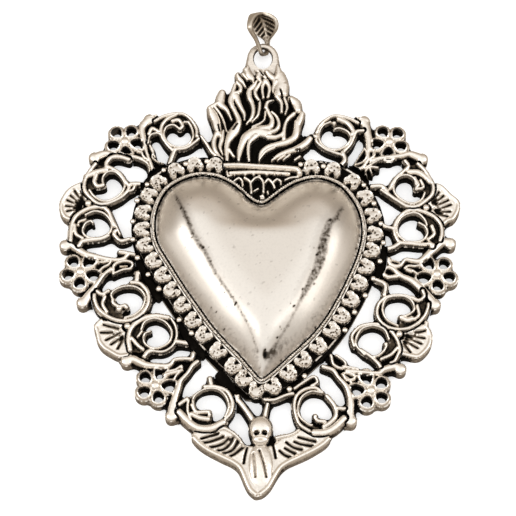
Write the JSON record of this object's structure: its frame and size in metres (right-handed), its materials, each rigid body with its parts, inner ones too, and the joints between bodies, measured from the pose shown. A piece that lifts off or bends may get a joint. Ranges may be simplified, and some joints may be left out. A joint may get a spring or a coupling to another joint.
{
  "type": "sacred heart pendant",
  "caption": "Antique silver sacred heart pendant: domed heart in a border of small hearts, openwork of scroll rings and flowers, flames above, winged cherub below, loose leaf bail",
  "frame": {"origin": "on the flat back, straight below the middle of the heart; the pendant lies on its back", "axes": "+Y runs from the heart up to the bail, +Z comes out of the front, +X goes to the right of the front view"},
  "size_m": [0.062, 0.0816, 0.0065],
  "materials": {
    "antique_silver": "silver-plated, cast and rubbed bright on the crests, oxidised dark in the recesses",
    "polished_silver": "silver-plated and polished, with small pits and a dark patina in the creases",
    "back_silver": "silver-plated, filed flat and left satin"
  },
  "bodies": {
    "root": {"back_plate": "back_silver", "heart_dome": "polished_silver", "bezel_rim": "antique_silver", "border_of_hearts": "antique_silver", "brazier_cup": "antique_silver", "flame_crown": "antique_silver", "cherub": "antique_silver", "scroll_ring_left_1": "antique_silver", "scroll_ring_left_2": "antique_silver", "scroll_ring_left_3": "antique_silver", "scroll_ring_left_4": "antique_silver", "scroll_ring_left_5": "antique_silver", "scroll_ring_left_6": "antique_silver", "scroll_ring_right_1": "antique_silver", "scroll_ring_right_2": "antique_silver", "scroll_ring_right_3": "antique_silver", "scroll_ring_right_4": "antique_silver", "scroll_ring_right_5": "antique_silver", "scroll_ring_right_6": "antique_silver", "flower_bracket_left_1": "antique_silver", "flower_bracket_left_2": "antique_silver", "flower_bracket_left_3": "antique_silver", "flower_bracket_right_1": "antique_silver", "flower_bracket_right_2": "antique_silver", "flower_bracket_right_3": "antique_silver", "fan_shell_left_1": "antique_silver", "fan_shell_left_2": "antique_silver", "fan_shell_right_1": "antique_silver", "fan_shell_right_2": "antique_silver"},
    "bail": {"bail": "antique_silver"}
  },
  "joints": [
    {"name": "bail_swing", "type": "hinge", "parent": "root", "child": "bail", "pos_m": [0.00073, 0.03795, 0.0015], "axis": [0.9992, 0.04, 0], "range_deg": [-135, 85]}
  ]
}
